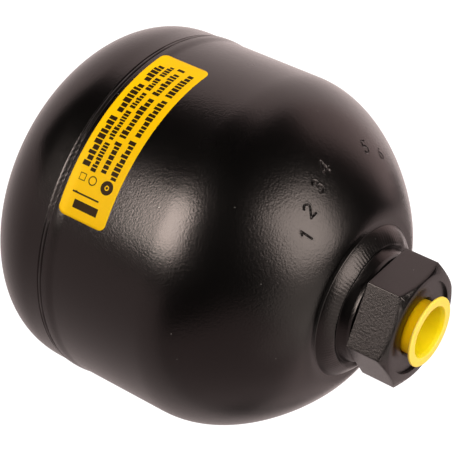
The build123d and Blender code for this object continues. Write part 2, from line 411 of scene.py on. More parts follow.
@dataclass(frozen=True)
class MouldedPolyethylene:
    """Yellow injection-moulded polyethylene: waxy, a little translucent, finely grained.

    The recess is painted greener than the outside and the slim flange palest: painted light
    that stands in for light passing through the wall. The recess is what lies within inside_radius of
    the axis.
    """

    name: str = "yellow_polyethylene"
    colour: str = "#fbc804"
    # Painted light: recess colour, greener than the body, standing in for light through the wall
    recess_painted_light: str = "#e3cd06"
    inside_radius: float = 9.75
    inside_fade: float = 0.1
    # Painted glow: paler flange colour, standing in for light shining through the slim flange
    flange_painted_glow: str = "#f3d24d"
    flange_z: float = 176.0
    flange_fade: float = 0.6
    roughness: float = 0.42
    spread: float = 0.05
    cloud_width: float = 6.0
    ior: float = 1.51
    scatter: float = 0.35
    scatter_depth: float = 1.2
    scatter_reach: tuple[float, float, float] = (1.0, 0.7, 0.15)
    grain_width: float = 0.35
    grain_height: float = 0.01

    def build(self) -> Material:
        """Builds the plastic: painted glow in the slim flange, painted light in the recess, scattering
        below the surface, fine grain.

        Returns:
            The material.
        """
        material, add, place = new_material(self.name)
        grain = add("TexNoise", {"Vector": place, "Scale": 1 / self.grain_width, "Detail": 2.0})
        cloud = add("TexNoise", {"Vector": place, "Scale": 1 / self.cloud_width, "Detail": 1.0})
        ends = {"To Min": self.roughness - self.spread, "To Max": self.roughness + self.spread}
        height = add("SeparateXYZ", {0: place}).outputs["Z"]
        # Share of the painted flange glow, rising over flange_fade above flange_z
        span = {"From Min": self.flange_z, "From Max": self.flange_z + self.flange_fade}
        flange_glow_share = add("MapRange", {"Value": height} | span)
        level = add("VectorMath", {0: place, 1: (1.0, 1.0, 0.0)}, operation="MULTIPLY")
        radius = add("VectorMath", {0: level}, operation="LENGTH").outputs["Value"]
        fade = self.inside_fade
        span = {"From Min": self.inside_radius - fade, "From Max": self.inside_radius + fade}
        outside = add("MapRange", {"Value": radius} | span)
        # Painted glow: the flange is painted paler, as if lit through its slim wall
        colours = {6: linear(self.colour), 7: linear(self.flange_painted_glow)}
        skin = add("Mix", {0: flange_glow_share} | colours, data_type="RGBA").outputs[2]
        # Painted light: the recess is painted greener, as if lit by light passing through the wall
        colours = {6: linear(self.recess_painted_light), 7: skin}
        shader = {
            "Base Color": add("Mix", {0: outside} | colours, data_type="RGBA").outputs[2],
            "Roughness": add("MapRange", {"Value": cloud} | ends),
            "IOR": self.ior,
            "Subsurface Weight": self.scatter,
            "Subsurface Radius": self.scatter_reach,
            "Subsurface Scale": self.scatter_depth * MM,
            "Normal": add("Bump", {"Height": grain, "Distance": self.grain_height * MM}),
        }
        add("OutputMaterial", {"Surface": add("BsdfPrincipled", shader)})
        return material


@dataclass(frozen=True)
class PrintedFoil:
    """Polyester label foil or the ink on it: flat colour, satin, very slightly wavy."""

    name: str
    colour: str
    roughness: float = 0.5
    specular: float = 0.05
    ior: float = 1.5
    wave_width: float = 6.0
    wave_height: float = 0.02
    mottle_width: float = 1.5
    mottle: Pair = (0.96, 1.03)

    def build(self) -> Material:
        """Builds the foil: a flat colour with a faint mottle and a soft waviness.

        Returns:
            The material.
        """
        material, add, place = new_material(self.name)
        wave = add("TexNoise", {"Vector": place, "Scale": 1 / self.wave_width, "Detail": 1.0})
        mottle = add("TexNoise", {"Vector": place, "Scale": 1 / self.mottle_width, "Detail": 3.0})
        shade = add("MapRange", {"Value": mottle, "To Min": self.mottle[0], "To Max": self.mottle[1]})
        shader = {
            "Base Color": add("VectorMath", {0: linear(self.colour)[:3], 3: shade}, operation="SCALE"),
            "Roughness": self.roughness,
            "IOR": self.ior,
            "Specular IOR Level": self.specular,
            "Normal": add("Bump", {"Height": wave, "Distance": self.wave_height * MM}),
        }
        add("OutputMaterial", {"Surface": add("BsdfPrincipled", shader)})
        return material


@dataclass(frozen=True)
class TurnedSteel:
    """Zinc-plated turned steel: grey metal with fine rings left by the tool round Z."""

    name: str = "zinc_plated_steel"
    colour: str = "#b9bab6"
    roughness: float = 0.32
    ring_pitch: float = 0.25
    ring_height: float = 0.004

    def build(self) -> Material:
        """Builds the metal: rings as a wave over the distance from the axis.

        Returns:
            The material.
        """
        material, add, place = new_material(self.name)
        level = add("VectorMath", {0: place, 1: (1.0, 1.0, 0.0)}, operation="MULTIPLY")
        radius = add("VectorMath", {0: level}, operation="LENGTH").outputs["Value"]
        phase = add("Math", {0: radius, 1: 2 * math.pi / self.ring_pitch}, operation="MULTIPLY")
        rings = add("Math", {0: phase}, operation="SINE")
        shader = {
            "Base Color": linear(self.colour),
            "Metallic": 1.0,
            "Roughness": self.roughness,
            "Normal": add("Bump", {"Height": rings, "Distance": self.ring_height * MM}),
        }
        add("OutputMaterial", {"Surface": add("BsdfPrincipled", shader)})
        return material


@dataclass(frozen=True)
class MouldedRubber:
    """Black nitrile rubber from a steel mould: matt, with a faint bloom."""

    name: str = "black_nitrile_rubber"
    colour: str = "#1a1a1b"
    bloom: str = "#26262a"
    cloud_width: float = 8.0
    roughness: float = 0.72
    ior: float = 1.52

    def build(self) -> Material:
        """Builds the rubber: two close greys mixed by soft noise.

        Returns:
            The material.
        """
        material, add, place = new_material(self.name)
        cloud = add("TexNoise", {"Vector": place, "Scale": 1 / self.cloud_width, "Detail": 4.0})
        colours = {6: linear(self.colour), 7: linear(self.bloom)}
        shader = {
            "Base Color": add("Mix", {0: cloud} | colours, data_type="RGBA").outputs[2],
            "Roughness": self.roughness,
            "IOR": self.ior,
        }
        add("OutputMaterial", {"Surface": add("BsdfPrincipled", shader)})
        return material


# Pieces of the vessel


@dataclass
class VesselShape:
    """Sizes that the shells, the weld, the label and the collar share."""

    body_radius: float = field(default_factory=lambda: mount_radius("body_band"))
    wall: float = 6.0
    swell: float = 0.45
    swell_flat: float = 1.1
    swell_length: float = 4.0
    fluid_straight: float = 42.6
    gas_straight: float = 7.3

    def __post_init__(self) -> None:
        """Reads the heights of the welds and domes from the frame."""
        low, high = node_span("girth_weld")
        self.weld_z = (low + high) / 2
        self.weld_half = (high - low) / 2
        self.fluid_dome_z = self.weld_z + self.fluid_straight
        self.gas_dome_z = self.weld_z - self.gas_straight
        self.crown_z = node_span("fluid_shell")[1]
        self.gas_pole_z = node_span("gas_shell")[0]

    def swelling(self, rise: np.ndarray) -> np.ndarray:
        """Height of the swelling over the cylinder at a height over the weld's upper edge."""
        return self.swell * (1 - smooth((rise - self.swell_flat) / self.swell_length))


@dataclass
class Dome:
    """Pressed dome from the cylinder to a flat end, by the CAD's own rule.

    The profile is a cubic curve, upright where it leaves the cylinder and level where it
    meets the flat. Inside the wall its handles shrink in proportion to what is left.
    """

    shape: VesselShape
    start_z: float
    end_z: float
    flat_radius: float
    wall_handle: float
    flat_handle: float

    def curve(self, inset: float, t: np.ndarray) -> np.ndarray:
        """Profile that lies inset inside the outer surface, at curve parameters t.

        Args:
            inset: distance inside the outer surface.
            t: curve parameters from 0 to 1.

        Returns:
            Radii and heights, one row for each t.
        """
        body, flat = self.shape.body_radius, self.flat_radius
        radius = body - inset
        depth = abs(self.end_z - self.start_z)
        up = 1 if self.end_z > self.start_z else -1
        end_z = self.end_z - up * inset
        handle_z = self.start_z + up * self.wall_handle * ((depth - inset) / depth)
        handle_radius = flat + self.flat_handle * ((radius - flat) / (body - flat))
        points = [(radius, self.start_z), (radius, handle_z), (handle_radius, end_z), (flat, end_z)]
        return bezier(points, t)


@dataclass
class StampedDigits:
    """Plain digits stamped in the dome, along a slanting line.

    A digit is a few strokes in a box 1 high. The depth at a point follows from its
    distance d to the nearest stroke: depth (1 - ease(d / half width)), with a low rim.
    """

    height: float = 4.8
    half_width: float = 0.36
    depth: float = 0.24
    rim: float = 0.05
    # Middle and width of the rim, as shares of half_width
    rim_shape: Pair = (1.5, 0.4)
    # Half side of the square round a digit that it is looked for in, as a share of height
    reach: float = 0.8
    # Angle in degrees, height above the weld and lean of each digit, first digit lowest
    places: tuple[tuple[float, float, float], ...] = (
        (270.7, 82.4, 4.0),
        (261.6, 79.6, -6.0),
        (251.7, 77.4, 5.0),
        (243.4, 75.2, 8.0),
        (216.3, 75.8, -4.0),
        (205.5, 77.6, 3.0),
    )

    @staticmethod
    def arc(centre: Pair, radius: float, first: float, last: float) -> np.ndarray:
        """Points on a circle arc: centre + radius (cos t, sin t), t from first to last degrees."""
        return bend(centre, (radius, radius), (first, last), 9)

    def strokes(self) -> list[list[np.ndarray]]:
        """Strokes of the digits 1 to 6, each a list of polylines in a box 1 high.

        Returns:
            One list of polylines for each digit.
        """
        one = [np.array([(-0.18, 0.28), (0.02, 0.5), (0.02, -0.5)])]
        two = [np.vstack([self.arc((0, 0.22), 0.26, 165, -30), [(-0.28, -0.5), (0.3, -0.5)]])]
        three = [self.arc((0, 0.25), 0.24, 150, -90), self.arc((0, -0.23), 0.27, 90, -150)]
        four = [np.array([(0.14, -0.5), (0.14, 0.5), (-0.3, -0.2), (0.32, -0.2)])]
        flag = [(0.24, 0.5), (-0.18, 0.5), (-0.22, 0.06)]
        five = [np.vstack([flag, self.arc((0, -0.2), 0.29, 130, -150)])]
        six = [self.arc((0, -0.22), 0.27, 0, 360), self.arc((0.3, -0.16), 0.58, 110, 190)]
        return [one, two, three, four, five, six]

    def sink(self, grid: np.ndarray, normals: np.ndarray, weld_z: float) -> np.ndarray:
        """Sinks the digits into a grid of points.

        Args:
            grid: points in millimetres, rows by columns by 3.
            normals: unit normals of the same shape.
            weld_z: height of the weld, which the places are measured from.

        Returns:
            The moved points.
        """
        moved = grid.copy()
        columns = np.arctan2(grid[0, :, 1], grid[0, :, 0])
        for (angle, rise, lean), digit in zip(self.places, self.strokes()):
            a = math.radians(angle)
            centre_row = int(np.argmin(np.abs(grid[:, 0, 2] - weld_z - rise)))
            column = int(np.argmin(np.abs(angle_from(a, columns))))
            centre, normal = grid[centre_row, column], normals[centre_row, column]
            right = np.array([math.sin(a), -math.cos(a), 0.0])
            up = np.cross(normal, right)
            tilt = math.radians(lean)
            right, up = (
                right * math.cos(tilt) + up * math.sin(tilt),
                up * math.cos(tilt) - right * math.sin(tilt),
            )
            local = (grid - centre) @ np.stack([right, up], axis=-1) / self.height
            near = (np.abs(local).max(axis=-1) < self.reach) & ((grid - centre) @ normal > -self.height)
            points = local[near]
            distance = np.full(len(points), np.inf)
            for line in digit:
                for start, end in zip(line[:-1], line[1:]):
                    step = end - start
                    t = np.clip((points - start) @ step / (step @ step), 0, 1)
                    gap = np.linalg.norm(points - start - t[:, None] * step, axis=1)
                    distance = np.minimum(distance, gap * self.height)
            share = distance / self.half_width
            middle, width = self.rim_shape
            raised = self.rim * np.exp(-(((share - middle) / width) ** 2))
            sunk = self.depth * (1 - smooth(share)) - raised
            moved[near] -= normals[near] * sunk[:, None]
        return moved


@dataclass
class FluidShell:
    """Port-side shell: swelling at the weld, long cylinder, dome and flat crown."""

    shape: VesselShape
    digits: StampedDigits = field(default_factory=StampedDigits)
    wall_handle: float = 25.1
    crown_radius: float = 31.0
    crown_handle: float = 6.34
    hole_radius: float = 15.1
    fine_sectors: tuple[Pair, ...] = ((201.0, 221.0), (238.5, 275.5))
    fine_step: float = 0.24
    coarse_step: float = 2.4
    fine_span: Pair = (71.5, 86.5)
    inner_points: int = 24

    def __post_init__(self) -> None:
        """Sets the dome between the cylinder and the crown."""
        s = self.shape
        handles = (self.wall_handle, self.crown_handle)
        self.dome = Dome(s, s.fluid_dome_z, s.crown_z, self.crown_radius, *handles).curve

    def profile(self) -> np.ndarray:
        """Closed profile: up the outside, over the crown and down the inside.

        Returns:
            Radii and heights, rows by 2.
        """
        s = self.shape
        low = s.weld_z + s.weld_half
        reach = s.swell_flat + s.swell_length
        rise = np.linspace(0, reach, 16, endpoint=False)
        flare = np.column_stack([s.body_radius + s.swelling(rise), low + rise])
        coarse = np.linspace(0, 1, 2001)
        curve = self.dome(0, coarse)
        fine_from, fine_to = (np.interp(s.weld_z + z, curve[:, 1], coarse) for z in self.fine_span)
        t = np.concatenate([
            np.linspace(0, fine_from, 34, endpoint=False),
            np.linspace(fine_from, fine_to, 92, endpoint=False),
            np.linspace(fine_to, 1, 14),
        ])
        inner = self.dome(s.wall, np.linspace(1, 0, self.inner_points))
        return np.vstack([
            flare,
            run((s.body_radius, low + reach), (s.body_radius, s.fluid_dome_z), 14),
            self.dome(0, t),
            run((self.hole_radius, s.crown_z), (self.hole_radius, s.crown_z - s.wall), 1),
            run((self.hole_radius, s.crown_z - s.wall), (self.crown_radius, s.crown_z - s.wall), 1),
            inner,
            run((s.body_radius - s.wall, low - 1), (s.body_radius, low), 1),
        ])

    def angles(self) -> np.ndarray:
        """Column angles in radians: fine in the sectors that hold digits, coarse elsewhere.

        Returns:
            One angle for each column.
        """
        edges = [angle for sector in self.fine_sectors for angle in sector]
        stops = [edges[0], *edges[1:], edges[0] + 360]
        parts = []
        for number, (first, last) in enumerate(zip(stops[:-1], stops[1:])):
            step = self.fine_step if number % 2 == 0 else self.coarse_step
            parts.append(np.linspace(first, last, int(np.ceil((last - first) / step)), endpoint=False))
        return np.radians(np.concatenate(parts))

    def build(self, paint: Material) -> None:
        """Builds the shell, sinks the digits and puts it on the vessel.

        Args:
            paint: finish of the piece.
        """
        profile = self.profile()
        angles = self.angles()
        grid = turn(profile, angles)
        slope = np.roll(profile, -1, axis=0) - np.roll(profile, 1, axis=0)
        slope /= np.linalg.norm(slope, axis=1)[:, None]
        across = np.column_stack([slope[:, 1], -slope[:, 0]])
        normals = turn(across, angles)
        # All but the inner dome, the two corners of the hole's edge and the weld flank
        outer = len(profile) - self.inner_points - 3
        grid[:outer] = self.digits.sink(grid[:outer], normals[:outer], self.shape.weld_z)
        piece = build_mesh("fluid_shell_painted", grid, wrap_rows=True)
        install(piece, Body.VESSEL, Slot.PAINT, "fluid_shell", paint)


@dataclass
class GasShell:
    """Gas-side shell: short cylinder and dome down to the adapter's hole."""

    shape: VesselShape
    wall_handle: float = 29.6
    pole_handle: float = 22.7
    depth: float = 37.4
    hole_radius: float = 10.1
    columns: int = 160

    def build(self, paint: Material) -> None:
        """Builds the shell and puts it on the vessel.

        Args:
            paint: finish of the piece.
        """
        s = self.shape
        end_z = s.gas_dome_z - self.depth
        dome = Dome(s, s.gas_dome_z, end_z, 0.0, self.wall_handle, self.pole_handle).curve
        outer = dome(0, np.linspace(0, 1, 90))
        outer = outer[(outer[:, 0] > self.hole_radius) & (outer[:, 1] > s.gas_pole_z)][::-1]
        inner = dome(s.wall, np.linspace(0, 1, 40))
        inner = inner[inner[:, 0] > self.hole_radius]
        low = s.weld_z - s.weld_half
        profile = np.vstack([
            run((self.hole_radius, s.gas_pole_z), tuple(outer[0]), 1),
            outer,
            run((s.body_radius, s.gas_dome_z), (s.body_radius, low), 6)[1:],
            run((s.body_radius, low), (s.body_radius - s.wall, low + 1), 1),
            run((s.body_radius - s.wall, low + 1), tuple(inner[0]), 1),
            inner,
            [(self.hole_radius, inner[-1, 1])],
        ])
        piece = turned_piece("gas_shell_painted", profile, self.columns)
        install(piece, Body.VESSEL, Slot.PAINT, "gas_shell", paint)


@dataclass
class GirthWeld:
    """Ring weld between the shells: a fine crest between two grooves, run over in one sector.

    The height over the shell is crest exp(-(v/w)^2) - groove exp(-((|v|-g)/w)^2), where v
    is the way across in millimetres. Where the bead was run over again it lies in steps,
    each falling away evenly towards the port and broken into short lengths.
    """

    shape: VesselShape
    crest: float = 0.12
    crest_width: float = 0.3
    groove: float = 0.3
    groove_place: float = 0.85
    groove_width: float = 0.28
    root_half: float = 0.4
    columns: int = 1440
    rough_sector: Pair = (275.0, 306.0)
    step_pitch: float = 0.9
    step_height: float = 0.24
    break_pitch_deg: float = 1.9
    # Way in radians over which the run-over part starts and ends
    sector_fade: float = 0.1
    # How steeply the relief fades out at the weld's edges
    edge_fade: float = 6.0
    # How far the relief may stand over the swelling
    most_over: float = 0.1

    def build(self, paint: Material) -> None:
        """Builds the weld and puts it on the vessel.

        Args:
            paint: finish of the piece.
        """
        s = self.shape
        across = np.linspace(-1, 1, 45)
        v = across * s.weld_half
        angles = around(self.columns)
        flank = s.body_radius + s.swell * smooth(0.5 + across / 2)
        fade = np.minimum(1, (1 - np.abs(across)) * self.edge_fade)
        line = self.crest * np.exp(-((v / self.crest_width) ** 2))
        dip = self.groove * np.exp(-(((np.abs(v) - self.groove_place) / self.groove_width) ** 2))
        first, last = np.radians(self.rough_sector)
        rough = smooth((angles - first) / self.sector_fade) * smooth((last - angles) / self.sector_fade)
        wander = 0.18 * np.sin(5 * angles + 1.0) + 0.1 * np.sin(13 * angles)
        plain = (line - dip)[:, None] * (1 + 0.25 * np.sin(9 * angles + 2) * np.sin(23 * angles))
        steps = v[:, None] / self.step_pitch + 0.2 * np.sin(11 * angles) + 0.1 * np.sin(37 * angles)
        number = np.floor(steps)
        broken = np.sin(2 * np.pi * np.degrees(angles) / self.break_pitch_deg + 2.3 * number)
        broken = 0.75 + 0.25 * broken + 0.15 * np.sin(151 * angles + 1.7 * number)
        bead = self.step_height * (broken * (1 - steps + number) - 0.8)
        height = (plain * (1 - rough) + bead * rough) * fade[:, None]
        radius = np.minimum(flank[:, None] + height, s.body_radius + s.swell + self.most_over)
        z = s.weld_z + v[:, None] + wander * 0.3 * fade[:, None]
        outer = polar(radius, angles, z)
        root = np.array([
            (s.body_radius - s.wall, s.weld_z + self.root_half),
            (s.body_radius - s.wall, s.weld_z - self.root_half),
        ])
        grid = np.concatenate([outer, turn(root, angles)])
        piece = build_mesh("girth_weld_painted", grid, wrap_rows=True, sharp_deg=60)
        install(piece, Body.VESSEL, Slot.PAINT, "girth_weld", paint)


@dataclass
class PortFitting:
    """Hexagon with a turned chamfer, spot face, threaded bore, neck and spigot."""

    shape: VesselShape
    across_flats: float = 41.0
    corner_round: float = 0.35
    chamfer_deg: float = 30.0
    face_radius: float = 20.2
    neck_radius: float = 19.2
    neck_length: float = 9.2
    spigot_radius: float = 15.0
    spot_radius: float = 17.5
    spot_depth: float = 1.0
    mouth_radius: float = 11.3
    major_radius: float = 10.4
    thread_pitch: float = 1.814
    thread_depth: float = 16.6
    passage_radius: float = 6.0
    point_depth: float = 2.0
    # Gain and offset that clip the thread's triangle wave to flanks, crest and root
    thread_flank: Pair = (1.3, 0.15)
    rows_per_turn: int = 9
    flare: float = 0.4
    edge: float = 0.06
    forged_facet_deg: float = 300.0

    def outline(self) -> tuple[np.ndarray, np.ndarray]:
        """Angles and radii of a hexagon with rounded corners.

        Each corner is an arc of corner_round about a point inside it, and each flat has
        evenly spaced points, so the flats stay flat.

        Returns:
            Angles in radians and radii in millimetres.
        """
        inner = (self.across_flats / 2 - self.corner_round) / math.cos(math.radians(30))
        corner = np.radians(np.arange(30, 390, 60))[:, None]
        spread = np.radians(np.linspace(-30, 30, 7))[None, :]
        x = inner * np.cos(corner) + self.corner_round * np.cos(corner + spread)
        y = inner * np.sin(corner) + self.corner_round * np.sin(corner + spread)
        t = np.linspace(0, 1, 15)[1:-1]
        end = np.stack([x[:, -1], y[:, -1]], axis=-1)[:, None, :]
        ahead = np.stack([np.roll(x[:, 0], -1), np.roll(y[:, 0], -1)], axis=-1)[:, None, :]
        flat = end + (ahead - end) * t[None, :, None]
        points = np.concatenate([np.stack([x, y], axis=-1), flat], axis=1).reshape(-1, 2)
        return np.arctan2(points[:, 1], points[:, 0]), np.hypot(points[:, 0], points[:, 1])

    def build(self, paint: Material, forged: Material) -> None:
        """Builds the fitting, with the forged skin left on one flat.

        Rows run from the spigot up the neck and the hexagon, over the chamfer and the
        face and down the bore. The chamfer height of each column is face height minus
        (hexagon radius - face radius) tan 30.

        Args:
            paint: finish of the fitting.
            forged: finish of the forged flat.
        """
        s = self.shape
        angles, hexagon = self.outline()
        low, face_z = node_span("port_fitting")
        back_z = s.crown_z + self.neck_length
        floor_z = face_z - self.spot_depth
        minor = mount_radius("fluid_port")
        slope = math.tan(math.radians(self.chamfer_deg))
        chamfer_z = face_z - (hexagon - self.face_radius) * slope
        rows: list[tuple[np.ndarray | float, np.ndarray | float]] = [
            (self.passage_radius, low),
            (self.spigot_radius, low),
            (self.spigot_radius, s.crown_z),
            (self.neck_radius, s.crown_z),
            (self.neck_radius, back_z - self.flare),
            (self.neck_radius + self.flare, back_z),
            (hexagon - self.edge, back_z),
            (hexagon, back_z + self.edge),
        ]
        side_first = len(rows)
        rows += [(hexagon, back_z + (chamfer_z - back_z) * share) for share in np.linspace(0.1, 0.9, 6)]
        rows += [
            (hexagon, chamfer_z - self.edge),
            (hexagon - self.edge * 0.9, chamfer_z + self.edge * 0.52),
        ]
        side_last = len(rows)
        rows += [
            (self.face_radius + self.edge, face_z - self.edge * slope),
            (self.face_radius - self.edge, face_z),
            (self.spot_radius + self.edge, face_z),
            (self.spot_radius, face_z - self.edge),
            (self.spot_radius - 0.1, floor_z),
            ((self.spot_radius + self.mouth_radius) / 2, floor_z),
            (self.mouth_radius + 0.1, floor_z),
        ]
        start_z = floor_z - (self.mouth_radius - minor)
        end_z = floor_z - self.thread_depth
        gain, offset = self.thread_flank
        for z in np.arange(floor_z - 0.1, end_z, -self.thread_pitch / self.rows_per_turn):
            wave = thread_wave(z, angles, self.thread_pitch)
            cut = minor + (self.major_radius - minor) * np.clip(wave * gain - offset, 0, 1)
            rows.append((np.maximum(cut, minor + (z - start_z)), z))
        rows += [(minor, end_z), (self.passage_radius, end_z - self.point_depth)]
        ones = np.ones_like(angles)
        radius, height = (np.array([row[part] * ones for row in rows]) for part in (0, 1))
        grid = polar(radius, angles, height)
        piece = build_mesh("port_fitting_painted", grid, wrap_rows=True)
        columns = len(angles)
        middle = (angles + 0.5 * angle_from(angles, np.roll(angles, -1))) % (2 * np.pi)
        facet = np.abs(angle_from(math.radians(self.forged_facet_deg), middle)) < math.radians(29)
        index = np.zeros((len(rows), columns), dtype=np.int32)
        index[side_first - 1:side_last - 1, facet] = 1
        install(piece, Body.VESSEL, Slot.PAINT, "port_fitting", paint, forged)
        piece.data.polygons.foreach_set("material_index", index.ravel())


@dataclass
class CollarWeld:
    """Weld ring on the crown: a toe, a broad sloping band, a crest and a steep inner wall.

    The wall climbs to a short collar round the neck, behind the hexagon. Every part of
    the profile is a cubic curve whose ends and handles are radii and heights.

    The crest height wanders with the angle as the sum of a few sines, fine ripples run
    over it like those that the weld pool leaves, and a start and stop of the bead lifts
    it in one place.
    """

    shape: VesselShape
    neck_radius: float = 19.2
    collar_radius: float = 20.4
    valley_radius: float = 22.0
    foot_radius: float = 28.8
    band_width: float = 4.7
    crest_height: float = 4.4
    ripple: float = 0.03
    ripple_count: int = 118
    columns: int = 720
    restart_sector: Pair = (180.0, 228.0)
    restart_lift: float = 0.9
    restart_ends: Pair = (16.0, 24.0)

    def build(self, paint: Material) -> None:
        """Builds the ring and puts it on the vessel.

        Args:
            paint: finish of the piece.
        """
        s = self.shape
        low = s.crown_z
        foot = self.foot_radius
        crest = foot - self.band_width
        share = np.linspace(0, 1, 13)
        toe = [(foot + 0.3, 0.0), (foot, 0.0), (foot - 0.1, 0.1), (foot - 0.25, 0.35)]
        band = [toe[-1], (foot - 1.6, 2.1), (crest + 1.6, 3.3), (crest, self.crest_height)]
        top = [band[-1], (crest - 0.9, 5.0), (crest - 1.3, 4.2), (self.valley_radius, 3.9)]
        collar = self.collar_radius
        wall = [top[-1], (self.valley_radius - 0.2, 3.9), (collar + 0.4, 6.2), (collar, 7.0)]
        profile = np.vstack([
            bezier(toe, share)[:-1],
            bezier(band, share)[:-1],
            bezier(top, share)[:-1],
            bezier(wall, share),
            [(collar, 8.2), (collar - 0.5, 8.6), (self.neck_radius, 8.7), (self.neck_radius, 0.0)],
        ])
        profile[:, 1] += low
        angles = around(self.columns)
        grid = turn(profile, angles)
        wander = 0.16 * np.sin(3 * angles + 0.6) + 0.1 * np.sin(7 * angles) + 0.05 * np.sin(19 * angles)
        degrees = np.degrees(angles)
        restart = smooth((degrees - self.restart_sector[0]) / self.restart_ends[0])
        restart *= self.restart_lift * smooth((self.restart_sector[1] - degrees) / self.restart_ends[1])
        lift = (profile[:, 1] - s.crown_z) / self.crest_height
        lift = np.clip(lift, 0, 1) * smooth((profile[:, 0] - collar) / 3)
        ripple = self.ripple * np.sin(
            self.ripple_count * angles + 0.9 * (profile[:, :1] - crest) ** 2 / self.band_width
        )
        grid[..., 2] += lift[:, None] * (wander + restart + ripple)
        piece = build_mesh("port_weld_painted", grid, wrap_rows=True, sharp_deg=50)
        install(piece, Body.VESSEL, Slot.PAINT, "port_weld", paint)


@dataclass
class PortPlug:
    """Hollow push-in plug: closed end, seat cone, neck, wide rim and tapering recess."""

    gap: float = 0.2
    neck_radius: float = 9.95
    rim_radius: float = 13.1
    rim_thickness: float = 1.0
    rim_round: float = 0.35
    mouth_radius: float = 9.8
    mouth_round: float = 0.2
    mouth_taper: float = 0.6
    wall: float = 1.0
    floor_radius: float = 7.9
    floor: float = 2.0
    seat_drop: float = 1.9
    columns: int = 160

    def build(self, plastic: Material) -> None:
        """Builds the plug and puts it on its own body.

        Args:
            plastic: finish of the piece.
        """
        low, front = node_span("port_plug")
        body = mount_radius("fluid_port") - self.gap
        rim_z = front - self.rim_thickness
        floor_z = node_span("port_fitting")[1] - 1.0
        seat_z = floor_z - self.seat_drop
        neck_z = seat_z + self.neck_radius - body
        soft, r = self.mouth_round, self.rim_round
        rim = self.rim_radius - r
        profile = np.vstack([
            bend((body - 0.8, low + 0.8), (0.8, 0.8), (-90, 0), 5),
            run((body, low + 1.2), (body, seat_z), 3),
            run((body, seat_z), (self.neck_radius, neck_z), 2),
            run((self.neck_radius, neck_z), (self.neck_radius, rim_z - 0.3), 3),
            bend((self.neck_radius + 0.3, rim_z - 0.3), (0.3, 0.3), (180, 90), 4),
            bend((rim, rim_z + r), (r, r), (-90, 0), 6),
            bend((rim, front - r), (r, r), (0, 90), 6),
            bend((self.mouth_radius + soft, front - soft), (soft, soft), (90, 170), 5),
            run((self.mouth_radius - self.mouth_taper, rim_z), (body - self.wall, seat_z), 6),
            run((body - self.wall, seat_z), (self.floor_radius, low + self.floor + 0.5), 3),
            bend((self.floor_radius - 0.5, low + self.floor + 0.5), (0.5, 0.5), (0, -90), 4),
            run((self.floor_radius - 1.5, low + self.floor), (0.4, low + self.floor), 4),
        ])
        grid = turn(profile, around(self.columns))
        piece = build_mesh("port_plug_moulded", grid, cap_first=True, cap_last=True)
        install(piece, Body.PLUG, Slot.PLUG, "port_plug", plastic)


